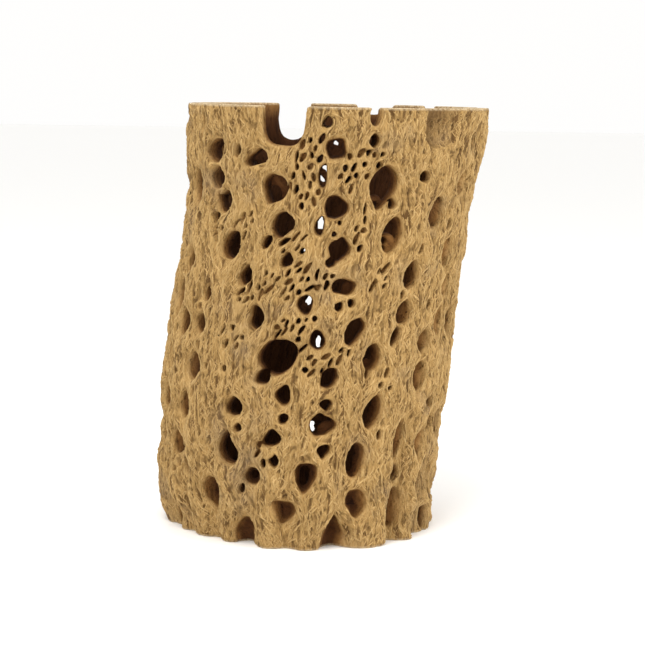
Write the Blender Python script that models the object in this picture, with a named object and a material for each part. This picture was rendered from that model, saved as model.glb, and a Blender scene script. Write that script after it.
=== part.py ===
"""A cut length of cholla cactus skeleton: a hollow wooden net with oval windows, sawn flat at both ends.

The net is drawn flat first, as a sheet that is unrolled from the trunk. Its windows are cut out,
and it is then bent round the leaning trunk, thickened inwards to the hollow, and sawn to length.
Angles are degrees round the trunk. 0 is the front, -Y, and they grow towards +X.
"""
import math
import random

import bmesh
import bpy
import numpy as np
from mathutils.geometry import delaunay_2d_cdt

MM = 0.001

# Driving dimensions, in millimetres
HEIGHT = 152.0
WALL = 8.0
TRUNK_RADIUS = 51.0
FOOT_X = -8.33
FOOT_Y = 0.0

# Height up the trunk, how far its middle has leaned towards +X, and its radius over the ribs
TRUNK_HEIGHTS = [0, 24, 48, 72, 96, 120, 152]
TRUNK_LEAN = [0.0, 0.2, 2.3, 4.5, 7.8, 11.0, 13.4]
TRUNK_RADII = [51.6, 52.6, 53.1, 53.1, 52.2, 52.7, 55.6]

# The foot is flatter on one side, where this much is missing at the ground
FLAT_ANGLE = -58.0
FLAT_SPREAD = 36.0
FLAT_DEPTH = 7.0
FLAT_HEIGHT = 55.0

# Valleys between the ribs, by their angle at the ground. They lean with the net and fade upwards.
RIB_VALLEYS = [-49, -30, -13, 9, 34, 54, 73, 92, 111, 129, 147, 165, -176, -158, -139, -121, -103,
               -85, -67]
VALLEY_TURN = 0.06
RIB_SPREAD = 4.5
RIB_DEPTH_FOOT, RIB_DEPTH_TOP = 2.4, 0.7
RIB_FADE_HEIGHT = 60.0

# Windows: degrees round the trunk, height, width and length in millimetres, and how far the top
# leans towards growing angles in degrees. They are named by the column they stand in.
WINDOWS = {
    "far_left": [
        (-59, 87, 4, 6, 15), (-61, 76, 6, 7, 10), (-62, 61, 7, 10, 5), (-72, 146, 3, 7, -10),
        (-66, 47, 5, 9, 0), (-71, 33, 6, 9, 5), (-64, 25, 4, 7, 0),
    ],
    "left": [
        (-64, 136, 10, 8, -15), (-62, 127, 8, 7, 0), (-57, 119, 8, 8, 20), (-50, 104, 8, 10, 20),
        (-41, 94, 5, 7, 20), (-33, 80, 5, 8, -5), (-38, 49, 6, 7, -25), (-35, 42, 3, 3, 0),
        (-40, 34, 8, 11, -15), (-28, 25, 6, 6, -20), (-50, 17, 7, 11, 0), (-33, 8, 6, 8, 10),
        (-22, 67, 14, 12, -20),
    ],
    "front": [
        (-31, 151, 16, 24, 0), (-41, 134, 8, 6, -20), (-33, 124, 9, 10, 25), (-28, 112, 7, 9, 20),
        (-33, 106, 3, 5, 20), (-24, 100, 4, 5, 20), (-14, 129, 3, 8, 0), (-14, 147, 3, 4, 20),
        (-10, 138, 7, 7, 30), (-13, 112, 3, 7, 0), (-8, 118, 8, 8, 15), (-4, 104, 7, 8, 0),
        (-14, 85, 5, 7, -20), (-7, 73, 5, 7, -35), (0, 91, 8, 6, 0), (7, 76, 6, 10, 25),
        (-1, 60, 5, 8, 30), (-1, 51, 4, 4, 0), (-2, 44, 8, 8, 0), (0, 35, 4, 5, 20),
        (-6, 25, 7, 11, 0), (-18, 54, 5, 7, 0), (-17, 46, 3, 4, 20), (-21, 39, 6, 6, -20),
        (-19, 31, 3, 4, 0), (-15, 13, 8, 8, 0), (7, 4, 8, 16, 0),
    ],
    "right": [
        (4, 150, 4, 8, 0), (4, 141, 3, 5, 0), (10, 125, 9, 15, 10), (17, 109, 7, 12, 12),
        (27, 129, 4, 4, 0), (29, 95, 6, 9, 10), (28, 82, 6, 8, 10), (25, 74, 3, 7, 20),
        (16, 67, 6, 9, 15), (19, 48, 6, 12, 15), (14, 31, 6, 12, 5), (16, 16, 7, 10, 0),
        (34, 37, 5, 13, 5), (37, 12, 7, 14, 0), (35, 25, 4, 6, 5),
    ],
    "far_right": [
        (38, 116, 7, 11, 15), (50, 102, 6, 10, 10), (54, 90, 7, 8, 5), (51, 78, 6, 10, 5),
        (42, 71, 5, 8, 10), (42, 59, 6, 10, 5), (51, 49, 5, 4, 0), (55, 41, 7, 6, 0),
        (48, 34, 6, 10, 0), (53, 126, 6, 8, 10), (53, 20, 7, 11, 0), (57, 141, 5, 7, 10),
        (49, 5, 5, 8, 0),
    ],
    "behind": [
        (-171, 150, 10, 24, 0), (154, 151, 12, 14, 0), (173, 125, 6, 9, 0), (173, 105, 5, 8, 15),
        (169, 137, 5, 5, 0), (173, 75, 6, 8, 0), (167, 60, 6, 9, 0), (164, 27, 7, 9, 10),
        (-158, 97, 4, 6, 0), (-116, 52, 13, 12, 15), (112, 104, 12, 13, -10),
    ],
}

# Places on the far wall that show through front windows as whole wood, as degrees and height
WHOLE_WALL = [
    (-156, 85), (-165, 68), (-177, 53), (177, 53), (-165, 119), (-171, 105), (-176, 91),
    (166, 111), (162, 95), (157, 80), (150, 63), (159, 44), (159, 34), (158, 16), (166, 4),
    (178, 37), (-178, 20), (-159, 34), (-155, 17), (146, 120), (138, 102), (136, 33),
    (142, 13), (139, 54), (124, 88), (125, 73),
]
WHOLE_WALL_SIZE = 6.0

# Branch scars that never broke through: a shallow dish with the same five numbers, and its depth
DISHES = [(30, 147, 19, 22, 0, 4.0), (-100, 118, 16, 18, 0, 3.0)]

# The rest of the trunk carries one window for each turn of the golden angle
GOLDEN_ANGLE = 137.508
WINDOW_RISE = 0.66
DRAWN_FROM, DRAWN_TO = -67.0, 59.0
RULE_WIDTH, RULE_LENGTH = 6.8, 9.2
RULE_SIZES = [0.62, 0.85, 1.0, 1.0, 1.15, 1.3]
RULE_STRETCH = 0.9, 1.25
RULE_TILT = 12.0
ANGLE_STRAY, HEIGHT_STRAY = 3.0, 1.5
LEAST_WEB = 2.4

# How the surface dips round a window, and how the window narrows from its mouth to the hollow.
# A window of at least the branch width keeps its width.
DIP_DEPTH = 1.7
DIP_REACH = 3.0
MOUTH_SHARE = 1.1
INNER_SHARE = 0.8
BRANCH_WIDTH = 11

# How many sides a window's outline has. A small one is under this width times length.
WINDOW_SIDES, SMALL_WINDOW_SIDES, BRANCH_WINDOW_SIDES = 8, 6, 14
SMALL_WINDOW = 22

# Spacing of the points between windows, how far they stray, and their least distance from a rim
NET_SPACING = 6.1
NET_STRAY = 1.0
NET_CLEARANCE = 1.9

# The sheet runs this far past each saw cut. It is closed up at the back, half a turn away.
SHEET_OVERHANG = 12.0
HALF_TURN = 180.0
SEAM_CLEARANCE = 1.0
SEED = 11


def unrolled(angle):
    """The distance round the trunk, in millimetres, that an angle stands for."""
    return math.radians(angle) * TRUNK_RADIUS


def turn_between(angle, other):
    """The shorter way round from other to angle, in degrees."""
    return (angle - other + HALF_TURN) % 360.0 - HALF_TURN


def window_reach(angle, height, window):
    """Distance from a window's middle, where 1 is its rim."""
    at, up, width, length, tilt = window[:5]
    across = unrolled(1.0) * turn_between(angle, at)
    along = height - up
    lean = math.radians(tilt)
    u = across * math.cos(lean) - along * math.sin(lean)
    v = across * math.sin(lean) + along * math.cos(lean)
    return math.hypot(u / (width / 2), v / (length / 2))


def spare_web(one, other):
    """Wood left between two windows, in millimetres, taking each as an ellipse."""
    across = unrolled(1.0) * turn_between(one[0], other[0])
    along = one[1] - other[1]
    gap = math.hypot(across, along)
    heading = math.atan2(across, along)
    taken = 0.0
    for window in (one, other):
        side = heading - math.radians(window[4])
        half_width, half_length = window[2] / 2, window[3] / 2
        taken += half_width * half_length / math.hypot(
            half_length * math.sin(side), half_width * math.cos(side))
    return gap - taken


def all_windows():
    """The windows drawn by hand, then those of the golden angle where none is drawn."""
    rng = random.Random(SEED)
    windows = [window for column in WINDOWS.values() for window in column]
    turns = int((HEIGHT + 2 * SHEET_OVERHANG) / WINDOW_RISE)
    for turn in range(turns):
        stray = rng.uniform(-ANGLE_STRAY, ANGLE_STRAY)
        angle = turn_between(turn * GOLDEN_ANGLE + stray, 0.0)
        stray = rng.uniform(-HEIGHT_STRAY, HEIGHT_STRAY)
        height = turn * WINDOW_RISE - SHEET_OVERHANG + stray
        size = rng.choice(RULE_SIZES)
        length = RULE_LENGTH * size * rng.uniform(*RULE_STRETCH)
        window = (angle, height, RULE_WIDTH * size, length, rng.uniform(-RULE_TILT, RULE_TILT))
        if DRAWN_FROM < angle < DRAWN_TO:
            continue
        if min(window_reach(angle, height, dish) for dish in DISHES) < 1.0:
            continue
        whole = [(at, up, WHOLE_WALL_SIZE, WHOLE_WALL_SIZE, 0) for at, up in WHOLE_WALL]
        if min(spare_web(window, place) for place in whole) < 0.0:
            continue
        if all(spare_web(window, other) > LEAST_WEB for other in windows):
            windows.append(window)
    return windows


def window_outline(window):
    """Points round a window's rim, as angle and height, more of them for a larger window."""
    angle, height, width, length, tilt = window
    sides = WINDOW_SIDES
    if width * length < SMALL_WINDOW:
        sides = SMALL_WINDOW_SIDES
    elif width >= BRANCH_WIDTH:
        sides = BRANCH_WINDOW_SIDES
    lean = math.radians(tilt)
    points = []
    for side in range(sides):
        turn = math.tau * side / sides
        u = MOUTH_SHARE * width / 2 * math.sin(turn)
        v = MOUTH_SHARE * length / 2 * math.cos(turn)
        across = u * math.cos(lean) + v * math.sin(lean)
        along = -u * math.sin(lean) + v * math.cos(lean)
        points.append((angle + across / unrolled(1.0), height + along))
    return points


def plain_radius(angle, height):
    """The trunk's radius in millimetres without its ribs and windows, flatter on one side."""
    flat = math.exp(-(turn_between(angle, FLAT_ANGLE) / FLAT_SPREAD) ** 2)
    rise = min(1.0, max(0.0, height / FLAT_HEIGHT))
    return np.interp(height, TRUNK_HEIGHTS, TRUNK_RADII) - FLAT_DEPTH * flat * (1.0 - rise) ** 2


def trunk_radius(angle, height, windows):
    """Outer radius in millimetres, with the dips round windows, rib valleys and dishes."""
    radius = plain_radius(angle, height)
    dip = 0.0
    for window in windows:
        half = (window[2] + window[3]) / 4
        gap = half * max(0.0, window_reach(angle, height, window) - MOUTH_SHARE)
        dip = max(dip, math.exp(-(gap / DIP_REACH) ** 2) * min(1.0, half / 3))
    radius -= DIP_DEPTH * dip
    fade = min(1.0, max(0.0, height / RIB_FADE_HEIGHT))
    rib_depth = RIB_DEPTH_FOOT + (RIB_DEPTH_TOP - RIB_DEPTH_FOOT) * fade
    aside = min(abs(turn_between(angle, valley + VALLEY_TURN * height)) for valley in RIB_VALLEYS)
    radius -= rib_depth * math.exp(-(aside / RIB_SPREAD) ** 2)
    for dish in DISHES:
        reach = window_reach(angle, height, dish)
        radius -= dish[5] * max(0.0, 1.0 - reach * reach)
    return radius


def wrapped(angle, height, radius):
    """A point in metres at this angle, height and radius of the leaning trunk."""
    lean = np.interp(height, TRUNK_HEIGHTS, TRUNK_LEAN)
    turn = math.radians(angle)
    return ((FOOT_X + lean + radius * math.sin(turn)) * MM,
            (FOOT_Y - radius * math.cos(turn)) * MM,
            height * MM)


def net_points(windows):
    """Points of the wood between windows, on rows that are set off by half a step."""
    rng = random.Random(SEED)
    points = []
    rows = round((HEIGHT + 2 * SHEET_OVERHANG) / NET_SPACING)
    columns = round(unrolled(2 * HALF_TURN) / NET_SPACING)
    step = 2 * HALF_TURN / columns
    for row in range(rows + 1):
        height = row * NET_SPACING - SHEET_OVERHANG
        for column in range(columns):
            stray = rng.uniform(-NET_STRAY, NET_STRAY)
            angle = (column + 0.5 + 0.5 * (row % 2)) * step - HALF_TURN + stray
            up = height + rng.uniform(-NET_STRAY, NET_STRAY)
            clear = True
            for window in windows:
                half = min(window[2], window[3]) / 2
                if window_reach(angle, up, window) < MOUTH_SHARE + NET_CLEARANCE / half:
                    clear = False
                    break
            if clear and abs(angle) < HALF_TURN - SEAM_CLEARANCE:
                points.append((angle, up))
    return points


def flat_net(windows):
    """The unrolled sheet as corner points and triangles, with its windows left out."""
    low, high = -SHEET_OVERHANG, HEIGHT + SHEET_OVERHANG
    corners = [(-HALF_TURN, low), (HALF_TURN, low), (HALF_TURN, high), (-HALF_TURN, high)]
    edges = [(0, 1), (1, 2), (2, 3), (3, 0)]
    seam_rows = round((high - low) / NET_SPACING)
    for row in range(1, seam_rows):
        height = low + (high - low) * row / seam_rows
        if min(window_reach(HALF_TURN, height, window) for window in windows) > 2.0:
            corners += [(-HALF_TURN, height), (HALF_TURN, height)]
    for window in windows:
        for whole_turn in (-2 * HALF_TURN, 0.0, 2 * HALF_TURN):
            outline = [(angle + whole_turn, height) for angle, height in window_outline(window)]
            angles = [angle for angle, height in outline]
            if max(angles) < -HALF_TURN or min(angles) > HALF_TURN:
                continue
            first = len(corners)
            corners += outline
            count = len(outline)
            edges += [(first + i, first + (i + 1) % count) for i in range(count)]
    corners += net_points(windows)
    sheet = [(unrolled(angle), height) for angle, height in corners]
    # 0 asks for triangles out to the convex hull, and the last number is a distance in millimetres
    found = delaunay_2d_cdt(sheet, edges, [], 0, 1e-4)
    points = [(point.x / unrolled(1.0), point.y) for point in found[0]]
    triangles = []
    for face in found[2]:
        angle = sum(points[corner][0] for corner in face) / 3
        height = sum(points[corner][1] for corner in face) / 3
        on_sheet = abs(angle) < HALF_TURN and low < height < high
        if on_sheet and not in_a_window(angle, height, windows):
            triangles.append(face)
    return points, triangles


def in_a_window(angle, height, windows):
    """Whether a point of the sheet lies inside the outline of any window."""
    for window in windows:
        if window_reach(angle, height, window) > MOUTH_SHARE:
            continue
        outline = window_outline(window)
        here = window[0] + turn_between(angle, window[0])
        crossings = 0
        for (a, b), (c, d) in zip(outline, outline[1:] + outline[:1]):
            if (b > height) != (d > height) and here < a + (height - b) * (c - a) / (d - b):
                crossings += 1
        if crossings % 2:
            return True
    return False


def inner_place(angle, height, windows):
    """Where a point of the outer skin meets the hollow: window rims move in to their middle."""
    best = min(windows, key=lambda window: window_reach(angle, height, window))
    if window_reach(angle, height, best) > MOUTH_SHARE * 1.02:
        return angle, height
    across = turn_between(angle, best[0])
    share = 1.0 if best[2] >= BRANCH_WIDTH else INNER_SHARE
    return best[0] + across * share, best[1] + (height - best[1]) * share


def trunk_mesh(windows):
    """The net bent round the trunk and thickened inwards, longer than the sawn piece."""
    points, triangles = flat_net(windows)
    mesh = bmesh.new()
    angle_layer = mesh.verts.layers.float.new("angle")
    height_layer = mesh.verts.layers.float.new("height")
    made = {}
    for triangle in triangles:
        corners = []
        for index in triangle:
            angle, height = points[index]
            angle = turn_between(round(angle, 3), 0.0)
            key = (angle, round(height, 3))
            if key not in made:
                place = wrapped(angle, height, trunk_radius(angle, height, windows))
                made[key] = mesh.verts.new(place)
                made[key][angle_layer] = angle
                made[key][height_layer] = height
            corners.append(made[key])
        if len(set(corners)) == 3:
            mesh.faces.new(corners)
    thick = bmesh.ops.extrude_face_region(mesh, geom=mesh.faces[:])
    for corner in thick["geom"]:
        if isinstance(corner, bmesh.types.BMVert):
            angle, height = inner_place(corner[angle_layer], corner[height_layer], windows)
            corner.co = wrapped(angle, height, plain_radius(angle, height) - WALL)
    bmesh.ops.recalc_face_normals(mesh, faces=mesh.faces[:])
    return mesh


def wood_material():
    """Dry, tan, matt wood."""
    material = bpy.data.materials.new("cholla_wood")
    material.use_nodes = True
    shader = material.node_tree.nodes["Principled BSDF"]
    shader.inputs["Base Color"].default_value = (0.38, 0.24, 0.10, 1.0)
    shader.inputs["Roughness"].default_value = 0.85
    shader.inputs["Metallic"].default_value = 0.0
    return material


def in_collection(name, mesh_data, object_name):
    """A new object of this mesh in the collection of that name."""
    collection = bpy.data.collections.get(name)
    if collection is None:
        collection = bpy.data.collections.new(name)
        bpy.context.scene.collection.children.link(collection)
    made = bpy.data.objects.new(object_name, mesh_data)
    collection.objects.link(made)
    return made


def saw_block():
    """The block between the two saw cuts. What lies outside it is sawn off."""
    block = bmesh.new()
    bmesh.ops.create_cube(block, size=1.0)
    wide = 4 * TRUNK_RADIUS * MM
    bmesh.ops.scale(block, vec=(wide, wide, HEIGHT * MM), verts=block.verts)
    bmesh.ops.translate(block, vec=(0, 0, HEIGHT * MM / 2), verts=block.verts)
    data = bpy.data.meshes.new("saw_block")
    block.to_mesh(data)
    block.free()
    cutter = in_collection("saw_cuts", data, "saw_block")
    cutter.hide_render = True
    cutter.display_type = "WIRE"
    return cutter


def cholla_skeleton():
    """The whole piece: the thick net, sawn square at its foot and at its top."""
    windows = all_windows()
    mesh = trunk_mesh(windows)
    data = bpy.data.meshes.new("cholla_skeleton")
    mesh.to_mesh(data)
    mesh.free()
    data.materials.append(wood_material())
    piece = in_collection("cholla_cactus_skeleton", data, "cholla_skeleton")
    sawn = piece.modifiers.new("sawn_to_length", "BOOLEAN")
    sawn.operation = "INTERSECT"
    sawn.solver = "EXACT"
    sawn.object = saw_block()
    return piece


def main():
    for old in list(bpy.data.objects):
        bpy.data.objects.remove(old, do_unlink=True)
    cholla_skeleton()


main()
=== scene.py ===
# %% [markdown]
# # A cholla cactus skeleton
#
# A cholla skeleton is the wood that is left when the flesh of the cactus has rotted away. It is
# one hollow tube of woven strands with oval windows, where the plant's tubercles stood. This
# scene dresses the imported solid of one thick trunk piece, sawn flat at both ends: first the light
# and the camera, then the wood as one carved volume, then the loose fibres that lie on it.

# %% Frame
import math
import random

import bpy
import numpy as np
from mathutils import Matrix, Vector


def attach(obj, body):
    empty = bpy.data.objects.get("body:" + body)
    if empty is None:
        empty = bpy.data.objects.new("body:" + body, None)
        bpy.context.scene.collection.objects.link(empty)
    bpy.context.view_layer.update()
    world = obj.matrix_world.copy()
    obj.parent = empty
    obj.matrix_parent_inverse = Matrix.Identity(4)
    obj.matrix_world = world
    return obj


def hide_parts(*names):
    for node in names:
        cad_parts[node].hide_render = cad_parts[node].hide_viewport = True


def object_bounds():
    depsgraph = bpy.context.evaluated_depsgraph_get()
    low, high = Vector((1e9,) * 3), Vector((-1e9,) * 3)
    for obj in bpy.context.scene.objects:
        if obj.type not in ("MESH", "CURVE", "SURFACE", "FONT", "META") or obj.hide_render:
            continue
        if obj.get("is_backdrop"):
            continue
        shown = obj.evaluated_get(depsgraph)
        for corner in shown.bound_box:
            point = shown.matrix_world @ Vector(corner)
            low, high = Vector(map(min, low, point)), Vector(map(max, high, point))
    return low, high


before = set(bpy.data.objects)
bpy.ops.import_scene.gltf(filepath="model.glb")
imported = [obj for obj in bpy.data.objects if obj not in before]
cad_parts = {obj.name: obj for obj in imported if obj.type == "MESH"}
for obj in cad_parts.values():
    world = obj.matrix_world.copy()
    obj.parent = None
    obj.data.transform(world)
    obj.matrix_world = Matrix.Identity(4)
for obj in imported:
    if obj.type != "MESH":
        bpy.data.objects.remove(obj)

import openvdb
from mathutils import Vector

MM = 0.001
CAD_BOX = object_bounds()
print("solid model, in mm:", [[round(v / MM, 1) for v in corner] for corner in CAD_BOX])

# %% [markdown]
# ## Camera
#
# The photograph looks down on the piece a little, from nearly 700 mm away, and leans by a degree.
# The camera stands where it stood for the photograph, with a long lens, so that the rims and the
# lean of the trunk look as they do there.

# %% Camera
CAMERA_PLACE = (-122.63, -691.0, 160.0)
CAMERA_TARGET = (0.6, 0.0, 73.0)
CAMERA_LENS, CAMERA_SENSOR = 108.0, 36.0
CAMERA_ROLL = 1.1
SIGHT_METRES = 20.0

def in_scene(name, data):
    """An object made of this data, put in the scene."""
    made = bpy.data.objects.new(name, data)
    bpy.context.scene.collection.objects.link(made)
    return made

def aimed(thing, place, target):
    """Puts a camera or lamp at a place, in millimetres, and turns it towards a target."""
    thing.location = Vector(place) * MM
    heading = (Vector(target) - Vector(place)).to_track_quat("-Z", "Y")
    thing.rotation_euler = heading.to_euler()

camera = in_scene("camera", bpy.data.cameras.new("camera"))
camera.data.lens = CAMERA_LENS
camera.data.sensor_width = CAMERA_SENSOR
camera.data.clip_end = SIGHT_METRES
aimed(camera, CAMERA_PLACE, CAMERA_TARGET)
camera.rotation_euler.rotate_axis("Z", math.radians(CAMERA_ROLL))
bpy.context.scene.camera = camera
print("camera", [round(v) for v in CAMERA_PLACE], "mm, lens", CAMERA_LENS, "mm")

# %% [markdown]
# ## Light
#
# The light is that of a white studio tent: it comes from everywhere, a bit more from above and in
# front, so shadows are faint and the holes are the only dark places. A bright surrounding and three
# large lamps give that. A single lamp would draw hard shadows that the photograph doesn't have.

# %% Light
LAMP_WIDTH, LAMP_TARGET = 500, (0, 0, 70)
LAMPS = {
    "lamp_above": ((-250, -400, 900), 5.0, (1.0, 0.985, 0.96)),
    "lamp_front_left": ((-650, -900, 450), 3.4, (1.0, 0.985, 0.96)),
    "lamp_right": ((900, -500, 400), 6.0, (1.0, 0.99, 0.97)),
}
TENT_COLOUR, TENT_STRENGTH = (1.0, 0.995, 0.985, 1.0), 1.0

for name, (place, power, colour) in LAMPS.items():
    data = bpy.data.lights.new(name, "AREA")
    data.shape = "DISK"
    data.size = LAMP_WIDTH * MM
    data.energy = power
    data.color = colour
    aimed(in_scene(name, data), place, LAMP_TARGET)

world = bpy.data.worlds.new("white_tent")
world.use_nodes = True
tent = world.node_tree.nodes["Background"].inputs
tent["Color"].default_value = TENT_COLOUR
tent["Strength"].default_value = TENT_STRENGTH
bpy.context.scene.world = world
bpy.context.scene.view_settings.view_transform = "Standard"
print(len(LAMPS), "lamps of", [power for place, power, colour in LAMPS.values()], "watts")

# %% [markdown]
# ## The trunk in numbers
#
# The wood follows the solid model, so nearly all its numbers are the solid's own, in millimetres
# and degrees. Degrees run round the trunk from 0 at the front and grow to the right. First come the
# trunk, its lean, the flat at its foot, and the valleys between its ribs, which turn a little as
# they rise. The photograph shows deeper valleys at the very foot than the solid has.

# %% Trunk numbers
HEIGHT = 152.0
WALL = 8.0
TRUNK_RADIUS = 51.0
FOOT_X, FOOT_Y = -8.33, 0.0
TRUNK_HEIGHTS = [0, 24, 48, 72, 96, 120, 152]
TRUNK_LEAN = [0.0, 0.2, 2.3, 4.5, 7.8, 11.0, 13.4]
TRUNK_RADII = [51.6, 52.6, 53.1, 53.1, 52.2, 52.7, 55.6]
FLAT_ANGLE, FLAT_SPREAD, FLAT_DEPTH, FLAT_HEIGHT = -58.0, 36.0, 7.0, 55.0
RIB_VALLEYS = [-49, -30, -13, 9, 34, 54, 73, 92, 111, 129, 147, 165, -176, -158, -139, -121, -103,
               -85, -67]
VALLEY_TURN, RIB_SPREAD = 0.06, 4.5
RIB_DEPTH_FOOT, RIB_DEPTH_TOP, RIB_FADE_HEIGHT = 2.4, 0.7, 60.0

# How much deeper a valley is at the foot than in the solid, by its degrees there, and the height
# over which that dies away
FOOT_VALLEYS, FOOT_FADE = {-49: 1.0, -30: 1.4, -13: 1.0, 9: 1.4, 36: 3.0, 54: 1.4}, 22.0
print("trunk of", len(RIB_VALLEYS), "ribs,", HEIGHT, "mm tall and", 2 * TRUNK_RADIUS, "mm across")

# %% [markdown]
# ## Windows given one by one
#
# A window is a hole where a tubercle of the plant stood. Those of the photographed side are placed
# one by one, as the solid has them. Two notches in the far rim are wider here, and one window at
# the foot is open, because the photograph shows them so.

# %% Windows given one by one
# Degrees round the trunk, height, width, length, lean of the top. A sixth number narrows a
# window towards its lower end, or widens it where it is below zero.
WINDOWS = {
    "far_left": [
        (-59, 87, 4, 6, 15), (-61, 76, 6, 7, 10), (-62, 61, 7, 10, 5), (-72, 146, 3, 7, -10),
        (-66, 47, 5, 9, 0), (-71, 33, 6, 9, 5), (-64, 25, 4, 7, 0),
    ],
    "left": [
        (-64, 136, 10, 8, -15), (-62, 127, 8, 7, 0), (-57, 119, 8, 8, 20), (-50, 104, 8, 10, 20),
        (-41, 94, 5, 7, 20), (-33, 80, 5, 8, -5), (-38, 49, 6, 7, -25), (-35, 42, 3, 3, 0),
        (-40, 34, 8, 11, -15), (-28, 25, 6, 6, -20), (-50, 17, 7, 11, 0),
        (-33, 3.5, 7, 12.5, 10, 0.0), (-22, 67, 14, 12, -20),
    ],
    "front": [
        (-31, 151, 16, 24, 0, 0.0), (-41, 134, 8, 6, -20), (-33, 124, 9, 10, 25),
        (-28, 112, 7, 9, 20), (-33, 106, 3, 5, 20), (-24, 100, 4, 5, 20), (-14, 129, 3, 8, 0),
        (-14, 147, 3, 4, 20),
        (-10, 138, 7, 7, 30), (-13, 112, 3, 7, 0), (-8, 118, 8, 8, 15, 0.3), (-4, 104, 7, 8, 0),
        (-14, 85, 5, 7, -20), (-7, 73, 5, 7, -35), (0, 91, 8, 6, 0), (7, 76, 6, 10, 25),
        (-1, 60, 5, 8, 30), (-1, 51, 4, 4, 0), (-2, 44, 8, 8, 0), (0, 35, 4, 5, 20),
        (-6, 25, 7, 11, 0, 0.62), (-18, 54, 5, 7, 0), (-17, 46, 3, 4, 20), (-21, 39, 6, 6, -20),
        (-19, 31, 3, 4, 0), (-15, 13, 9, 8, 0, 0.15), (7, 3, 9, 18, 0, -0.4),
    ],
    "right": [
        (4, 150, 4, 8, 0), (4, 141, 3, 5, 0), (10, 125, 9, 15, 10, 0.3), (17, 109, 7, 12, 12),
        (27, 129, 4, 4, 0), (29, 95, 6, 9, 10), (28, 82, 6, 8, 10), (25, 74, 3, 7, 20),
        (16, 67, 6, 9, 15), (19, 48, 6, 12, 15), (14, 31, 6, 12, 5), (16, 16, 7, 10, 0),
        (34, 37, 5, 13, 5), (37, 12, 7, 14, 0), (35, 25, 4, 6, 5),
    ],
    "far_right": [
        (38, 116, 7, 11, 15), (50, 102, 6, 10, 10), (54, 90, 7, 8, 5), (51, 78, 6, 10, 5),
        (42, 71, 5, 8, 10), (42, 59, 6, 10, 5), (51, 49, 5, 4, 0), (55, 41, 7, 6, 0),
        (48, 34, 6, 10, 0), (53, 126, 6, 8, 10), (53, 20, 7, 11, 0), (57, 141, 5, 7, 10),
        (49, 5, 5, 8, 0),
    ],
    "behind": [
        (-170.6, 150, 14.4, 24, 0, 0.0), (152.8, 152.3, 16, 8.6, 0, 0.0), (173, 125, 6, 8, 0),
        (172, 106, 5, 8, 15), (169, 137, 5, 5, 0), (171.5, 76, 6, 8, 0), (165, 60, 6, 9, 0),
        (163.5, 27, 7, 9, 10), (-158, 97, 4, 6, 0), (-116, 52, 13, 12, 15), (112, 104, 12, 13, -10),
    ],
}
# Places on the hidden sides where the wall stays whole, as degrees and height
WHOLE_WALL = [
    (-156, 85), (-165, 68), (-177, 53), (177, 53), (-165, 119), (-171, 105), (-176, 91),
    (166, 111), (162, 95), (157, 80), (150, 63), (159, 44), (159, 34), (158, 16), (166, 4),
    (178, 37), (-178, 20), (-159, 34), (-155, 17), (146, 120), (138, 102), (136, 33),
    (142, 13), (139, 54), (124, 88), (125, 73),
]
WHOLE_WALL_SIZE = 6.0

# Shallow hollows in the skin, stated as windows are. Then come the depth, and a power that gives
# the shape: 2 makes a soft oval dent, and a higher one a squarer dish with steep sides.
DISHES = [(32, 149, 16, 20, 0, 4.2, 3.5), (-100, 118, 16, 18, 0, 3.0, 2.0)]
placed = sum(len(column) for column in WINDOWS.values())
print(placed, "windows placed by hand,", len(DISHES), "dishes in the skin")

# %% [markdown]
# ## Measures of a window
#
# Windows are checked against each other on the unrolled skin, where a degree has a length. Three
# things are asked of them: how far a turn is the short way round, how near a place is to a
# window's middle, and how much wood is left between two of them.

# %% Measures of a window
def unrolled(angle):
    return math.radians(angle) * TRUNK_RADIUS

def turn_between(angle, other):
    return (angle - other + 180.0) % 360.0 - 180.0

def window_reach(angle, height, window):
    """Distance from a window's middle, where 1 is its rim."""
    at, up, width, length, tilt = window[:5]
    across = unrolled(1.0) * turn_between(angle, at)
    along = height - up
    lean = math.radians(tilt)
    u = across * math.cos(lean) - along * math.sin(lean)
    v = across * math.sin(lean) + along * math.cos(lean)
    return math.hypot(u / (width / 2), v / (length / 2))

def spare_web(one, other):
    """Wood left between two windows, in millimetres, taking each as an ellipse."""
    across = unrolled(1.0) * turn_between(one[0], other[0])
    along = one[1] - other[1]
    heading = math.atan2(across, along)
    taken = 0.0
    for window in (one, other):
        side = heading - math.radians(window[4])
        half_width, half_length = window[2] / 2, window[3] / 2
        taken += half_width * half_length / math.hypot(
            half_length * math.sin(side), half_width * math.cos(side))
    return math.hypot(across, along) - taken

print("one degree is", round(unrolled(1.0), 2), "mm along the skin")

# %% [markdown]
# ## Windows by the plant's own rule
#
# On the sides that the photograph doesn't show, a cholla puts its tubercles one golden angle after
# the other. That rule places the rest, with the same seeded draws as the solid, so that the windows
# lie over the solid's own. A window is left out where it would run into another or into a dish.

# %% Windows by the golden angle
GOLDEN_ANGLE, WINDOW_RISE = 137.508, 0.66
DRAWN_FROM, DRAWN_TO = -67.0, 59.0
RULE_WIDTH, RULE_LENGTH = 6.8, 9.2
RULE_SIZES = [0.62, 0.85, 1.0, 1.0, 1.15, 1.3]
RULE_STRETCH, RULE_TILT = (0.9, 1.25), 12.0
ANGLE_STRAY, HEIGHT_STRAY, LEAST_WEB = 3.0, 1.5, 2.4
SHEET_OVERHANG, SEED = 12.0, 11

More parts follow.
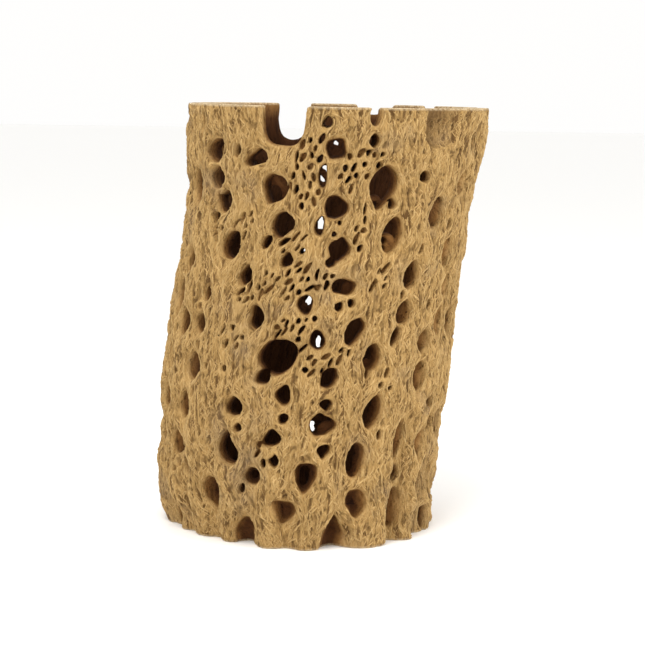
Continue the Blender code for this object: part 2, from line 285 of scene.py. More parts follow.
def all_windows():
    """The windows given one by one, then those of the golden angle where there is room."""
    rng = random.Random(SEED)
    windows = [window for column in WINDOWS.values() for window in column]
    for turn in range(int((HEIGHT + 2 * SHEET_OVERHANG) / WINDOW_RISE)):
        stray = rng.uniform(-ANGLE_STRAY, ANGLE_STRAY)
        angle = turn_between(turn * GOLDEN_ANGLE + stray, 0.0)
        stray = rng.uniform(-HEIGHT_STRAY, HEIGHT_STRAY)
        height = turn * WINDOW_RISE - SHEET_OVERHANG + stray
        size = rng.choice(RULE_SIZES)
        length = RULE_LENGTH * size * rng.uniform(*RULE_STRETCH)
        window = (angle, height, RULE_WIDTH * size, length, rng.uniform(-RULE_TILT, RULE_TILT))
        if DRAWN_FROM < angle < DRAWN_TO:
            continue
        if min(window_reach(angle, height, dish) for dish in DISHES) < 1.0:
            continue
        whole = [(at, up, WHOLE_WALL_SIZE, WHOLE_WALL_SIZE, 0) for at, up in WHOLE_WALL]
        if min(spare_web(window, place) for place in whole) < 0.0:
            continue
        if all(spare_web(window, other) > LEAST_WEB for other in windows):
            windows.append(window)
    return windows

windows = all_windows()
print(len(windows), "windows in all")

# %% [markdown]
# ## Slits and pores
#
# Between the windows the wood is pierced by slits and small pores, which the solid leaves out. The
# ones that show as marks of their own are listed. The rest are strewn over patches: listed ones
# where the photograph shows them, and one golden angle after the other on the hidden sides.

# %% Slits and pores in numbers
# Slits, second holes beside a window, and the narrow openings between them, stated as windows
SLITS = [
    (-60.2, 113, 3.2, 3.8, 0), (-71.7, 149.1, 1.6, 5, -5), (-72.8, 145, 1.5, 4, 0),
    (-49, 136.4, 2.2, 4.9, 10), (-13.8, 146.7, 2.2, 3, 15), (-5.5, 113, 1.2, 1.8, 0),
    (-7.1, 109.3, 1.7, 1.9, 0), (-6.6, 99.6, 3.4, 3.6, 0), (4.4, 141.9, 1.4, 2, 0),
    (14.6, 119.6, 2.6, 3.8, 5), (-0.9, 84.7, 2.8, 3.2, 0), (3.6, 86.0, 2.4, 3.0, 10),
    (-15.6, 79.7, 1.6, 2, 0), (-9.5, 80.5, 1.6, 2.2, 0), (25.2, 88.3, 1.8, 3, 10),
    (14.2, 61.2, 1.6, 3.4, 15), (-10.6, 63.1, 2, 2.2, 0), (-41.7, 76.1, 2, 2.2, 0),
    (-62.3, 82, 1.8, 2.6, 0), (-58.3, 68.2, 1.6, 3.4, 0), (-58.9, 52.7, 1.8, 4, 0),
    (-27.3, 59.8, 4.8, 5.4, 35), (-32.5, 20.5, 1.7, 3.8, 10), (-18.8, 31.5, 1.5, 3.8, 0),
    (31, 104, 1.6, 3.6, 15), (40.5, 84, 1.8, 4, 10), (46, 112, 2, 4, 10), (22, 40, 1.8, 3.6, 8),
    (-43.5, 62, 1.8, 2.6, 0), (-52, 62, 1.4, 2.4, 0),
]

# Clusters of pores: the middle, how wide and tall the patch is, how it leans, and how many
PORE_PATCHES = [
    (-20, 128, 13, 20, -8, 26), (-17, 137, 12, 12, 0, 12), (-22, 105, 8, 12, 20, 12),
    (-19, 93, 12, 12, 25, 16), (-37, 88, 9, 8, 10, 9), (-15, 77, 16, 10, 0, 11),
    (-42, 73, 10, 8, 0, 6), (3, 110, 4, 18, 4, 13), (-3, 131, 9, 14, 0, 12), (-8, 93, 8, 8, 0, 6),
    (4, 133, 7, 12, 10, 7), (-8, 66, 14, 8, 20, 9), (3, 70, 6, 8, 20, 6), (-24, 34, 8, 12, 0, 5),
    (22, 57, 6, 10, 10, 5), (-45, 110, 10, 14, 15, 6), (-30, 92, 7, 10, 20, 6),
    (-56, 108, 8, 10, 10, 4), (14, 92, 6, 14, 8, 5),
]
PORE_WIDTH, PORE_LENGTH = (0.7, 1.8), (1.8, 4.8)
PORE_WEB = 0.7
# The same for the hidden sides: how many patches, their size and lean, and how many pores in one
STREWN_PATCHES, STREWN_SIZE, STREWN_PORES = 64, (12, 14, 5), (2, 7)
GOLDEN_SHARE = 0.61803
PORE_STRAY, PORE_TRIES = (-12, 38), 6
print(len(SLITS), "slits,", len(PORE_PATCHES), "patches of pores placed by hand")

# %% Slits and pores
def all_pores(taken):
    """Small slits strewn over the patches, and thinly over the rest, clear of what is taken."""
    rng = random.Random(SEED + 1)
    patches = list(PORE_PATCHES)
    for step in range(STREWN_PATCHES):
        angle = turn_between(step * GOLDEN_ANGLE, 0.0)
        height = (step * GOLDEN_SHARE % 1.0) * HEIGHT
        if not DRAWN_FROM < angle < DRAWN_TO:
            patches.append((angle, height, *STREWN_SIZE, rng.randint(*STREWN_PORES)))
    pores = []
    for at, up, wide, tall, tilt, count in patches:
        lean = math.radians(tilt)
        for _ in range(count * PORE_TRIES):
            if count == 0:
                break
            turn, out = rng.uniform(0, math.tau), math.sqrt(rng.random())
            u, v = out * wide / 2 * math.sin(turn), out * tall / 2 * math.cos(turn)
            angle = at + (u * math.cos(lean) + v * math.sin(lean)) / unrolled(1.0)
            height = up - u * math.sin(lean) + v * math.cos(lean)
            pore = (angle, height, rng.uniform(*PORE_WIDTH), rng.uniform(*PORE_LENGTH),
                    tilt + rng.uniform(*PORE_STRAY))
            if all(spare_web(pore, other) > PORE_WEB for other in taken + pores):
                pores.append(pore)
                count -= 1
    return pores

pores = all_pores(windows + SLITS)
print(len(SLITS), "slits and", len(pores), "pores")

# %% [markdown]
# ## The wood, unrolled
#
# The wall of the trunk is first described flat, as maps over the degrees round it and the height:
# how far out the skin lies, how far in the hollow starts, and how far each place is from the
# nearest window rim. The strands of the net swerve round each window as water flows round a
# stone, so two more maps hold that flow: one stays the same along a strand, the other grows
# along it. They steer the grain, the ridges and the loose fibres alike.

# %% Empty maps
ANGLE_CELLS = 1296
ROW = 0.25
LOW, HIGH = -5.0, 157.0
CELL = 360.0 / ANGLE_CELLS

map_angles = (np.arange(ANGLE_CELLS) + 0.5) * CELL - 180.0
map_heights = np.arange(LOW, HIGH + ROW, ROW)
A, Z = np.meshgrid(map_angles, map_heights)

def patch_of(window, reach):
    """Rows and columns of the maps within reach of a window's middle."""
    half = max(window[2], window[3]) / 2 + reach
    first = max(0, int((window[1] - half - LOW) / ROW))
    last = min(len(map_heights), int((window[1] + half - LOW) / ROW) + 2)
    if last <= first:
        return None
    middle = int((window[0] + 180.0) / CELL)
    side = int(half / unrolled(CELL)) + 1
    columns = np.arange(middle - side, middle + side + 1) % ANGLE_CELLS
    return np.ix_(np.arange(first, last), columns)

def window_axes(window, patch):
    """Distance across and along a window, from its middle, over a patch of the maps."""
    across = unrolled(1.0) * turn_between(A[patch], window[0])
    along = Z[patch] - window[1]
    lean = math.radians(window[4])
    return (across * math.cos(lean) - along * math.sin(lean),
            across * math.sin(lean) + along * math.cos(lean))

print("maps of", A.shape, "cells, each", round(unrolled(CELL), 2), "by", ROW, "mm")

# %% [markdown]
# ## An uneven rim
#
# No window of a cholla is a clean oval. Each rim here is an oval made a little pointed, narrower at
# one end and wavy, by its own draws. The distance to it is kept over a patch of the maps, because
# everything around a window, such as its soft edge and the swerve of the strands, goes by that.

# %% Rim of a window
FAR = 40.0
# A drawn share that narrows the lower end, and one that makes both ends pointed
DROP, POINTED = (-0.2, 0.25), (0.05, 0.35)
# Wider or longer windows than these have no points and smoother rims
WIDE, LONG = 11, 11.5
RIM_WAVES = [(2, 0.06), (3, 0.08), (4, 0.05), (5, 0.035), (7, 0.02)]
NOTCH_POWER = 3.2

def rim_distance(u, v, window, rng):
    """Distance from an uneven oval rim, below zero inside it."""
    half_width, half_length = window[2] / 2, window[3] / 2
    drop = window[5] if len(window) > 5 else rng.uniform(*DROP)
    pointed = rng.uniform(*POINTED) if min(window[2:4]) < WIDE else 0.0
    end = np.clip(v / half_length, -1.3, 1.3)
    u = u / np.clip(1.0 + drop * end - pointed * end ** 2 + 0.3 * pointed, 0.3, 1.6)
    rough = 1.0 if max(window[2:4]) < LONG else 0.35
    u = u + rough * rng.uniform(-0.25, 0.25) * half_width * (end ** 2 - 0.4)
    turn = np.arctan2(u / half_width, v / half_length)
    uneven = 1.0
    for waves, size in RIM_WAVES:
        size = rough * size * rng.uniform(0.2, 1.0)
        uneven = uneven + size * np.cos(waves * turn + rng.uniform(0, 6.28))
    power = NOTCH_POWER if window[3] > 20 else 2.0
    a, b = np.abs(u) / half_width, np.abs(v) / half_length
    reach = (a ** power + b ** power) ** (1 / power)
    slope = np.hypot(a ** (power - 1) / half_width, b ** (power - 1) / half_length) + 1e-6
    past = (reach - uneven) * reach ** (power - 1) / slope
    return np.clip(past, -min(half_width, half_length), FAR)

print("a rim has", len(RIM_WAVES), "sets of waves")

# %% [markdown]
# ## Rims and the flow around them
#
# All rims go into one map, melted into each other where they meet. The same pass keeps how soft
# each edge is, how a tunnel closes in, how the skin dips towards a mouth, and how the strands
# swerve. Thin strands that cross a window are laid over it afterwards.

# %% Tunnels and strands in numbers
# Windows whose tunnel closes in towards the hollow, in millimetres off each side at its inner end,
# by the degrees and height of their middle
CLOSING = {(-31, 151): -2.2, (-15, 13): 5.4, (-33, 3.5): 4.0, (7, 3): 6.5, (16, 16): 4.6,
           (37, 12): 4.8, (-50, 17): 4.2, (-6, 25): 2.2, (-28, 25): 1.8, (173, 125): 1.2,
           (172, 106): 1.3, (171.5, 76): 2.7, (165, 60): 2.6, (163.5, 27): 3.1, (169, 137): 1.8,
           (4, 141): 1.2, (49, 5): 3.0, (53, 20): 2.5, (29, 95): 2.2, (28, 82): 2.2, (19, 48): 2.0,
           (34, 37): 2.4, (14, 31): 2.0, (50, 102): 2.4, (54, 90): 2.4, (51, 78): 2.4,
           (38, 116): 2.8, (42, 59): 2.4, (10, 125): 1.2, (17, 109): 2.2, (-10, 138): 1.2,
           (16, 67): 1.8}
PLAIN_CLOSING = 0.4

# Strands and round plugs that cross windows: degrees, height, length, width and lean
WEBS = [
    (173.5, 125, 8, 1.1, 50), (171.5, 101.5, 6, 2.6, 90), (-41, 131.6, 9, 0.9, 75),
    (-157, 133, 6, 6, 0), (-149, 94, 6, 6, 0), (157, 49.5, 6, 6, 0), (157, 56.5, 5, 5, 0),
    (-158, 37.5, 6, 6, 0), (153, 138, 6, 6, 0), (-57, 123, 8, 0.9, 60), (0.5, 88.2, 9, 1.0, 100),
]
print(len(CLOSING), "tunnels close in by their own measure,", len(WEBS), "strands and plugs")

# %% Rims and flow
FLOW_REACH, PORE_REACH = 22.0, 6.0
DIP_REACH, MOUTH_SHARE = 3.0, 1.1
NOTHING_NEAR, MELT = 30.0, 0.5
PLAIN_SOFTNESS, SHARPEST, SOFTEST, SOFT_SHARE = 0.5, 0.25, 0.9, 0.24

rng = random.Random(SEED + 2)
rim = np.full(A.shape, NOTHING_NEAR)
softness = np.full(A.shape, PLAIN_SOFTNESS)
closing = np.zeros(A.shape)
dip = np.zeros(A.shape)
strand = unrolled(1.0) * A
stream = Z.copy()
for window in windows + SLITS + pores:
    patch = patch_of(window, FLOW_REACH if window[2] > 2.5 else PORE_REACH)
    if patch is None:
        continue
    u, v = window_axes(window, patch)
    distance = rim_distance(u, v, window, rng)
    half = (window[2] + window[3]) / 4
    blend = np.clip(0.5 + 0.5 * (rim[patch] - distance) / MELT, 0.0, 1.0)
    soft = min(SOFTEST, max(SHARPEST, SOFT_SHARE * half))
    near = distance < rim[patch]
    softness[patch] = np.where(near, soft, softness[patch])
    closing[patch] = np.where(near, CLOSING.get(window[:2], PLAIN_CLOSING), closing[patch])
    rim[patch] = rim[patch] * (1 - blend) + distance * blend - MELT * blend * (1 - blend)
    gap = np.maximum(0.0, distance - (MOUTH_SHARE - 1.0) * half)
    sunk = np.exp(-(gap / DIP_REACH) ** 2) * min(1.0, half / 3) ** 1.5
    dip[patch] = np.maximum(dip[patch], sunk)
    reach = np.maximum(1.0, np.hypot(u / (window[2] / 2 + 0.6), v / (window[3] / 2 + 0.6)))
    taper = np.clip(1.0 - np.hypot(u, v) / (FLOW_REACH + half), 0.0, 1.0) ** 1.5
    strand[patch] -= u / reach ** 2 * taper
    stream[patch] += v / reach ** 2 * taper

for at, up, length, width, lean in WEBS:
    patch = patch_of((at, up, length, length, lean), 4.0)
    u, v = window_axes((at, up, length, length, lean), patch)
    past = np.hypot(u, np.maximum(0.0, np.abs(v) - (length - width) / 2)) - width / 2
    rim[patch] = np.maximum(rim[patch], -past)
    softness[patch] = np.where(past < 0.4, 0.3, softness[patch])

print("windows, slits and pores take", round(100 * float((rim < 0).mean())), "% of the maps")

# %% [markdown]
# ## Grain and pits by noise along the strands
#
# Noise on a square lattice looks like clouds. Read in the two flow maps instead of in degrees and
# height, it draws out into streaks that follow the strands and swerve with them. Three sizes of
# streaks make the skin ridged, and the peaks of three more, laid at an angle, make the small pits.

# %% Noise along the strands
AROUND = unrolled(360.0)

def lattice_noise(x, y, across, seed):
    """Smooth noise between -1 and 1, on a lattice that closes after this many cells of x."""
    rows = int(np.max(y) - np.min(y)) + 4
    lattice = np.random.default_rng(seed).uniform(-1, 1, (rows, across))
    y = y - np.min(y) + 1
    i, j = np.floor(x).astype(int), np.floor(y).astype(int)
    s, t = x - i, y - j
    s, t = s * s * (3 - 2 * s), t * t * (3 - 2 * t)
    i0, i1 = i % across, (i + 1) % across
    low = lattice[j, i0] * (1 - s) + lattice[j, i1] * s
    high = lattice[j + 1, i0] * (1 - s) + lattice[j + 1, i1] * s
    return low * (1 - t) + high * t

def flow_noise(cells, length, seed, cross=0.0):
    """Noise drawn out along the strands: cells round the trunk, and how long each streak is."""
    across = (strand + cross * stream) / AROUND * cells
    return lattice_noise(across, stream / length, cells, seed)

print("the skin is", round(AROUND), "mm round")

# %% Skin and hollow
# How far the skin stays inside the solid's, so that the fibres on it have room
FIBRE_ROOM = 0.35
DIP_DEPTH, HOLLOW_FOLLOWS = 1.5, 1.3
# Streaks of the skin: width, length, height and seed
STREAKS = [(6.0, 26.0, 0.2, 1), (2.9, 13.0, 0.14, 2), (1.5, 7.0, 0.1, 3)]

flat = np.exp(-(turn_between(A, FLAT_ANGLE) / FLAT_SPREAD) ** 2)
rise = np.clip(Z / FLAT_HEIGHT, 0.0, 1.0)
plain = np.interp(Z, TRUNK_HEIGHTS, TRUNK_RADII) - FLAT_DEPTH * flat * (1.0 - rise) ** 2
fade = np.clip(Z / RIB_FADE_HEIGHT, 0.0, 1.0)
rib_depth = RIB_DEPTH_FOOT + (RIB_DEPTH_TOP - RIB_DEPTH_FOOT) * fade
aside = np.full(A.shape, 360.0)
for valley in RIB_VALLEYS:
    aside = np.minimum(aside, np.abs(turn_between(A - valley, VALLEY_TURN * Z)))
ribs = rib_depth * np.exp(-(aside / RIB_SPREAD) ** 2)
outer = plain - DIP_DEPTH * dip - ribs - FIBRE_ROOM
inner = plain - WALL
for valley, extra in FOOT_VALLEYS.items():
    off = turn_between(A - valley, VALLEY_TURN * Z)
    deeper = extra * np.exp(-(off / RIB_SPREAD) ** 2 - (np.maximum(Z, 0.0) / FOOT_FADE) ** 2)
    outer -= deeper
    inner -= HOLLOW_FOLLOWS * deeper
for width, length, height, seed in STREAKS:
    outer += height * flow_noise(round(AROUND / width), length, seed)
print("rib valleys up to", round(float(ribs.max()), 1), "mm deep")

# %% Pits, dishes and the hollow
# Pits: how they slant, cells round the trunk, length and seed
PIT_LATTICES = [(0.5, 305, 2.2, 8), (-0.45, 315, 2.0, 9), (0.1, 295, 2.7, 10)]
PIT_FROM, PIT_SPAN, PIT_DEPTH = 0.58, 0.3, 0.75
# Unevenness of the hollow: slant, cells, length, height and seed
HOLLOW_LATTICES = [(0.0, 60, 14.0, 0.8, 5), (0.3, 130, 7.0, 0.5, 6)]

pits = np.zeros(A.shape)
for cross, cells, length, seed in PIT_LATTICES:
    noise = flow_noise(cells, length, seed, cross)
    pits = np.maximum(pits, np.clip((noise - PIT_FROM) / PIT_SPAN, 0.0, 1.0))
pits *= np.clip((rim - 0.5) / 1.2, 0.0, 1.0)
outer -= PIT_DEPTH * pits ** 1.3
stain = np.zeros(A.shape)
for at, up, wide, tall, tilt, deep, power in DISHES:
    patch = patch_of((at, up, wide, tall, tilt), 1.0)
    u, v = window_axes((at, up, wide, tall, tilt), patch)
    a, b = u / (wide / 2), v / (tall / 2)
    inside = np.clip(1.0 - np.abs(a) ** power - np.abs(b) ** power, 0.0, 1.0)
    steep, lopsided = (0.45, 0.35) if power > 2 else (0.9, 0.0)
    outer[patch] -= deep * inside ** steep * (0.8 - lopsided * a)
    # Painted shade over a dish, darker towards its top and its left, laid on a darker stain of the
    # wood
    corner = np.clip(0.72 + 0.6 * b - 0.5 * a + 0.4 * (1 - inside), 0.15, 1.0)
    stain[patch] = np.maximum(stain[patch], inside ** 0.35 * corner)
for cross, cells, length, height, seed in HOLLOW_LATTICES:
    inner += height * flow_noise(cells, length, seed, cross)
print("skin from", round(outer.min(), 1), "to", round(outer.max(), 1), "mm out")

# %% [markdown]
# ## Skins inside the tunnels
#
# A skin of wood still closes some tunnels part of the way in. It is kept as a map of how deep it
# lies, and it lies at a slant in the windows at the sides. A few skins are broken through, and
# every second pore gets one as well, so that it ends blind.

# %% Skins in numbers
# Skins across a tunnel: degrees, height, width, length, lean, how deep the middle lies, and how
# much deeper it gets for every millimetre to the right and upwards
SHELVES = [
    (-32, 125, 9.5, 10.5, 15, 4.4, 0, 0), (8, 119.6, 7, 6, 0, 3.8, 0, 0),
    (0.8, 42.2, 7, 5.5, -20, 4.4, 0, 0), (2.6, 90.4, 5, 5, 0, 4.6, 0, 0),
    (16, 105.4, 8, 8, 12, 2.3, 0, 0), (16, 63.6, 5, 5, 0, 4.6, 0, 0),
    (-15, 13, 11, 11, 0, 4.6, 1.1, 0.45), (-33, 3.5, 10, 17, 0, 6.0, 1.1, 0.0),
    (7, 3, 13, 21, 0, 4.8, -0.8, 0.25), (16, 16, 10, 13, 0, 5.6, -0.9, -0.2),
    (37, 12, 10, 17, 0, 3.4, -0.7, 0), (-50, 17, 10, 14, 0, 6.0, 0.9, 0),
    (38, 116, 10, 14, 15, 4.0, -0.8, -0.15), (50, 102, 9, 13, 10, 2.9, -0.6, 0),
    (54, 90, 10, 11, 5, 3.0, -0.6, 0), (51, 78, 9, 13, 5, 3.0, -0.6, 0),
    (42, 71, 8, 11, 10, 3.8, -0.8, 0), (42, 59, 9, 13, 5, 3.8, -0.8, 0),
    (48, 34, 9, 13, 0, 3.2, -0.6, 0), (53, 20, 10, 14, 0, 3.2, -0.6, 0),
    (53, 126, 9, 11, 10, 2.6, -0.6, 0), (49, 5, 8, 11, 0, 2.4, -0.5, 0),
    (28, 82, 9, 11, 10, 4.4, -0.8, 0), (34, 37, 8, 16, 5, 3.4, -0.8, 0),
    (-62, 61, 10, 13, 5, 5.2, 0.8, 0), (-66, 47, 8, 12, 0, 4.8, 0.8, 0),
    (-71, 33, 9, 12, 5, 4.6, 0.8, 0),
]
# Holes broken through the skins
SHELF_HOLES = [
    (-34.6, 121.6, 4.2, 5.4, -10), (14.4, 106.9, 1.8, 2.0, 0), (14.2, 103.9, 2.3, 2.4, 20),
    (8.4, 118.2, 2.0, 3.2, 0),
]
# A skin of wood is at least this thick
LEAST_SKIN = 0.9
# Every second pore ends blind this far down, under a skin a little wider than itself
DENT_DEPTH, DENT_EVERY = 2.5, 2
DENT_MARGIN, SHELF_EDGE = 1.0, 14.0
print(len(SHELVES), "skins, of which", sum(shelf[6] != 0 for shelf in SHELVES), "slant")

# %% Skins
shelf = np.full(A.shape, NOTHING_NEAR)
dents = [(at, up, wide + DENT_MARGIN, tall + DENT_MARGIN, tilt, DENT_DEPTH, 0, 0)
         for at, up, wide, tall, tilt in pores[::DENT_EVERY]]
for at, up, wide, tall, tilt, deep, across, upward in SHELVES + dents:
    patch = patch_of((at, up, wide, tall, tilt), 2.0)
    u, v = window_axes((at, up, wide, tall, tilt), patch)
    reach = np.hypot(u / (wide / 2), v / (tall / 2))
    sheet = np.maximum(0.4, deep + across * u + upward * v) + 0.4 * reach ** 2
    sheet = np.minimum(sheet, (outer - inner)[patch] - LEAST_SKIN)
    past = np.maximum(0.0, reach - 0.95)
    shelf[patch] = np.minimum(shelf[patch], sheet + SHELF_EDGE * past)
for hole in SHELF_HOLES:
    patch = patch_of(hole, 2.0)
    u, v = window_axes(hole, patch)
    reach = np.hypot(u / (hole[2] / 2), v / (hole[3] / 2))
    shelf[patch] += SHELF_EDGE * np.clip(1.3 - reach, 0.0, 1.0)
shelf += 0.25 * flow_noise(260, 3.0, 12)
print(len(SHELF_HOLES), "holes in the skins, and", len(dents), "blind pores")

# %% [markdown]
# ## One carved volume
#
# Every strand, rim and web of the real net runs into the next, with soft rounded edges, so the
# wood is made as one volume: the wall, less every window, with the edges melted into each other,
# and then the two flat saw cuts. The tunnel behind a window is faintly ringed by the layers of
# growth, and a skin of wood still closes some tunnels part of the way in. A mesh is drawn over
# that volume. Cutting holes with booleans would leave sharp rims, which weathered cholla doesn't
# have.

# %% Distance to the wood
RING_HEIGHT, RING_STEP = 0.22, 1.7
FLARE, FLARE_DEPTH = 0.8, 1.1
RING_WAVE = 4.0

wave = RING_WAVE * lattice_noise(A / 360 * 90, Z / 6.0, 90, 14)
wall_maps = [outer, inner, rim, softness, closing, shelf, wave]
wall_maps = np.stack(wall_maps, axis=-1).astype(np.float32)

def map_values(maps, angle, height):
    """Maps read at any places round the trunk and up it."""
    x = (np.asarray(angle) + 180.0) / CELL - 0.5
    y = np.clip((np.asarray(height) - LOW) / ROW, 0, maps.shape[0] - 1.001)
    i, j = np.floor(x).astype(int), np.floor(y).astype(int)
    s, t = (x - i)[..., None], (y - j)[..., None]
    i0, i1 = i % ANGLE_CELLS, (i + 1) % ANGLE_CELLS
    low = maps[j, i0] * (1 - s) + maps[j, i1] * s
    high = maps[j + 1, i0] * (1 - s) + maps[j + 1, i1] * s
    return low * (1 - t) + high * t

def wood_distance(values, radius):
    """Distance from the wood's surface, below zero inside the wood."""
    skin, hollow, opening, soft, closing_in, sheet, phase = (values[..., i] for i in range(7))
    depth = skin - radius
    wall = np.maximum(-depth, hollow - radius)
    inward = np.clip(depth / (skin - hollow), 0.0, 1.1)
    flare = FLARE * soft * np.exp(-np.maximum(depth, 0) / FLARE_DEPTH)
    tunnel = opening * radius / TRUNK_RADIUS - flare + closing_in * inward ** 4
    rings = np.sin(depth * (math.tau / RING_STEP) + phase)
    rings = RING_HEIGHT * rings * np.clip(depth - 0.7, 0.0, 1.0)
    tunnel = tunnel + rings * np.clip(soft / 0.6, 0.0, 1.0)
    blend = np.clip(0.5 + 0.5 * (wall + tunnel) / soft, 0.0, 1.0)
    carved = wall * blend - tunnel * (1 - blend) + soft * blend * (1 - blend)
    return np.minimum(carved, 0.7 * np.maximum(sheet - depth, hollow - radius))

print(wall_maps.shape[-1], "maps say where the wood is")

# %% Volume
VOXEL, AIR, BAND = 0.5, 3, 4.0
low_corner = np.array([CAD_BOX[0][0] / MM - AIR, CAD_BOX[0][1] / MM - AIR, -3 * VOXEL])
high_corner = np.array([CAD_BOX[1][0] / MM + AIR, CAD_BOX[1][1] / MM + AIR, HEIGHT + 3 * VOXEL])
counts = np.ceil((high_corner - low_corner) / VOXEL).astype(int)
xs = low_corner[0] + VOXEL * np.arange(counts[0])
ys = low_corner[1] + VOXEL * np.arange(counts[1])
zs = low_corner[2] + VOXEL * np.arange(counts[2])
volume = np.empty(counts, dtype=np.float32)
for k, z in enumerate(zs):
    x = xs[:, None] - FOOT_X - np.interp(z, TRUNK_HEIGHTS, TRUNK_LEAN)
    y = ys[None, :] - FOOT_Y
    radius = np.hypot(x, y)
    row = (z - LOW) / ROW
    j, t = int(row), row - int(row)
    line = wall_maps[j] * (1 - t) + wall_maps[j + 1] * t
    column = (np.degrees(np.arctan2(x, -y)) + 180.0) / CELL - 0.5
    i = np.floor(column).astype(int)
    s = (column - i)[..., None]
    values = line[i % ANGLE_CELLS] * (1 - s) + line[(i + 1) % ANGLE_CELLS] * s
    layer = wood_distance(values, radius)
    volume[:, :, k] = np.maximum(layer, max(-z, z - HEIGHT))
grid = openvdb.FloatGrid(BAND)
grid.copyFromArray(np.clip(volume, -BAND, BAND))
points, triangles, quads = grid.convertToPolygons(0.0, 0.0)
points = low_corner + points * VOXEL
print("volume of", volume.shape, "gives", len(points), "points and", len(quads), "quads")

# %% [markdown]
# ## A mesh over the volume
#
# The volume holds a few crumbs of wood that hang free between pores. On the real piece they
# would have fallen out, so only the largest body is kept. The mesh is then thinned: flat places
# need few triangles, and the rims of the windows keep most of them.

# %% Bodies and meshes
def largest_body(count, faces):
    """Which points belong to the largest connected body."""
    parent = np.arange(count)
    one, two = faces.ravel(), np.roll(faces, 1, axis=1).ravel()
    while True:
        low, high = np.minimum(parent[one], parent[two]), np.maximum(parent[one], parent[two])
        if np.array_equal(low, high):
            break
        np.minimum.at(parent, high, low)
        while not np.array_equal(parent, parent[parent]):
            parent = parent[parent]
    names, sizes = np.unique(parent, return_counts=True)
    return parent == names[np.argmax(sizes)]

def mesh_from(name, points, faces):
    """A mesh of faces that all have the same number of corners."""
    mesh = bpy.data.meshes.new(name)
    sides = faces.shape[1]
    mesh.vertices.add(len(points))
    mesh.vertices.foreach_set("co", (np.asarray(points) * MM).astype(np.float32).ravel())
    mesh.loops.add(faces.size)
    mesh.loops.foreach_set("vertex_index", faces.astype(np.int32).ravel())
    mesh.polygons.add(len(faces))
    mesh.polygons.foreach_set("loop_start", np.arange(0, faces.size, sides, dtype=np.int32))
    mesh.polygons.foreach_set("use_smooth", np.ones(len(faces), dtype=bool))
    mesh.update(calc_edges=True)
    mesh.validate()
    return mesh

print("the volume's mesh holds", len(triangles), "triangles besides its quads")

# %% Net
TRIANGLES = 192000

triangles = np.asarray(triangles).reshape(-1, 3)
faces = np.concatenate([quads[:, [0, 1, 2]], quads[:, [0, 2, 3]], triangles])
kept = largest_body(len(points), faces)
faces = faces[kept[faces[:, 0]]]
used = np.unique(faces)
renumbered = np.zeros(len(points), dtype=np.int64)
renumbered[used] = np.arange(len(used))
rough = in_scene("rough", mesh_from("rough", points[used], renumbered[faces][:, ::-1]))
fewer = rough.modifiers.new("fewer", "DECIMATE")
fewer.ratio = min(1.0, TRIANGLES / len(faces))
fewer.use_collapse_triangulate = True
thinned = rough.evaluated_get(bpy.context.evaluated_depsgraph_get())
finished = bpy.data.meshes.new_from_object(thinned)
finished.name = "cholla_net"
bpy.data.objects.remove(rough, do_unlink=True)
skeleton = in_scene("cholla_net", finished)
print("net of", len(finished.vertices), "points and", len(finished.polygons), "triangles")

# %% [markdown]
# ## Grain and depth, carried by the mesh
#
# Wood is coloured along its strands, and a tunnel is painted darker the deeper it lies, as painted
# shade. Neither can be told from a place in space alone, so both are stored on the mesh: where
# each point lies along the flow of the strands, how deep it is in the wall, and where the pits,
# the dishes and the cover of fibres are, which set more painted shade.

# %% Grain and depth
def places_of(mesh):
    """Degrees, height and radius of a mesh's points, in millimetres."""
    spots = np.empty(len(mesh.vertices) * 3, dtype=np.float32)
    mesh.vertices.foreach_get("co", spots)
    spots = spots.reshape(-1, 3) / MM
    x = spots[:, 0] - FOOT_X - np.interp(spots[:, 2], TRUNK_HEIGHTS, TRUNK_LEAN)
    y = spots[:, 1] - FOOT_Y
    return np.degrees(np.arctan2(x, -y)), spots[:, 2], np.hypot(x, y)

# Masks for painted shade: the pits, and the dishes with their stain
wear_maps = np.stack([pits, stain], axis=-1).astype(np.float32)
flow_maps = np.stack([strand - unrolled(1.0) * A, stream - Z], axis=-1).astype(np.float32)

def store(mesh, **values):
    """Stores numbers on a mesh's points, under their names."""
    for label, value in values.items():
        data = mesh.attributes.new(label, "FLOAT", "POINT")
        data.data.foreach_set("value", value.astype(np.float32))

def give_grain(mesh):
    """Stores where each point lies along the strands, and how deep in the wall it is."""
    angle, height, radius = places_of(mesh)
    values = map_values(wall_maps, angle, height)
    flow = map_values(flow_maps, angle, height)
    turn = (unrolled(1.0) * angle + flow[:, 0]) / TRUNK_RADIUS
    grain = np.stack([radius * np.cos(turn), radius * np.sin(turn), height + flow[:, 1]], axis=1)
    data = mesh.attributes.new("grain", "FLOAT_VECTOR", "POINT")
    data.data.foreach_set("vector", (grain * MM).astype(np.float32).ravel())
    depth = np.clip((values[:, 0] - radius) / (values[:, 0] - values[:, 1]), 0.0, 1.0)
    worn = map_values(wear_maps, angle, height)
    # Painted shade under the fibres: on the skin away from the rims, where fibres lie, the net is
    # darker
    under = np.clip((values[:, 2] - 0.2) / 0.8, 0.0, 1.0) * np.clip(1.0 - depth / 0.1, 0.0, 1.0)
    # The painted shade of a tunnel is eased near the top cut, where light falls into the hollow
    depth *= np.clip((HEIGHT - height) / 14.0 + 0.3, 0.0, 1.0)
    store(mesh, depth=depth, pit=worn[:, 0], stain=worn[:, 1], under=under)

give_grain(skeleton.data)
print("stored on the net:", [data.name for data in skeleton.data.attributes])

# %% [markdown]
# ## Fibres on the skin
#
# Close up, the skin is a weave of bundled fibres, half a millimetre to a millimetre wide. They run
# with the strands, lean up to 40 degrees off them to either side, swerve round the windows and lie
# a little proud of the wood, with their ends grown into it and small pits left open between them.
# Bump alone stays flat at the outline and in raking light, so thousands of them are real slim
# ridges: each is traced along the flow and laid on the skin.

# %% Slopes of the skin
SKIN_STEPS = 26

